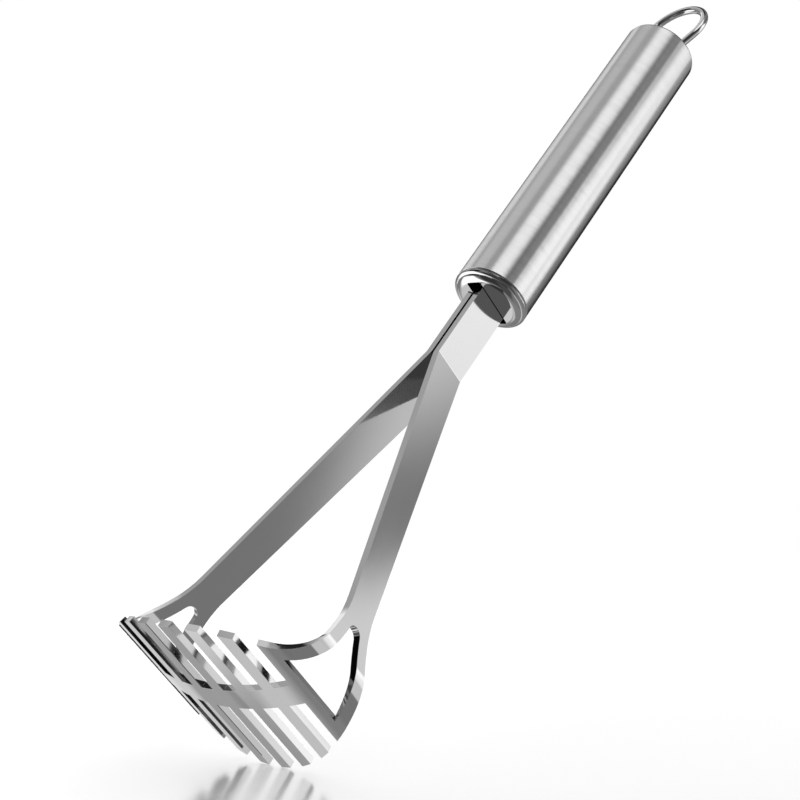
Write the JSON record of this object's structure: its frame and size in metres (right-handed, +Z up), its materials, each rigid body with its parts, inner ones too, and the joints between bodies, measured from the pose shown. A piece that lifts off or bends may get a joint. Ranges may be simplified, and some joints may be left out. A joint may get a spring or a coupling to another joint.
{
  "type": "potato masher",
  "caption": "All-steel potato masher: a curved slotted head folded up into two converging arms, a round brushed handle and a wire hanging loop.",
  "frame": {"origin": "lowest point of the head's rocker curve, in the middle of its spine, on the handle's axis", "axes": "+Z up along the handle's axis, X along the head's spine from arm to arm, Y along the bars"},
  "size_m": [0.0726, 0.059, 0.2936],
  "materials": {
    "polished_steel": "mirror-polished stainless steel with fine handling scratches",
    "polished_wire": "polished round stainless wire",
    "brushed_steel": "stainless steel brushed round the handle",
    "cast_aluminium": "as cast, out of sight inside the handle",
    "plain_steel": "plain mill finish, out of sight inside the handle"
  },
  "bodies": {
    "root": {"masher_blade": "polished_steel", "handle_tube": "brushed_steel", "front_cap": "polished_steel", "rear_cap": "polished_steel", "hanging_loop": "polished_wire", "anchor_plug": "cast_aluminium", "tail_spacer": "plain_steel", "anchor_pin_lower": "plain_steel", "anchor_pin_upper": "plain_steel", "loop_lock_plate": "plain_steel"}
  },
  "joints": []
}
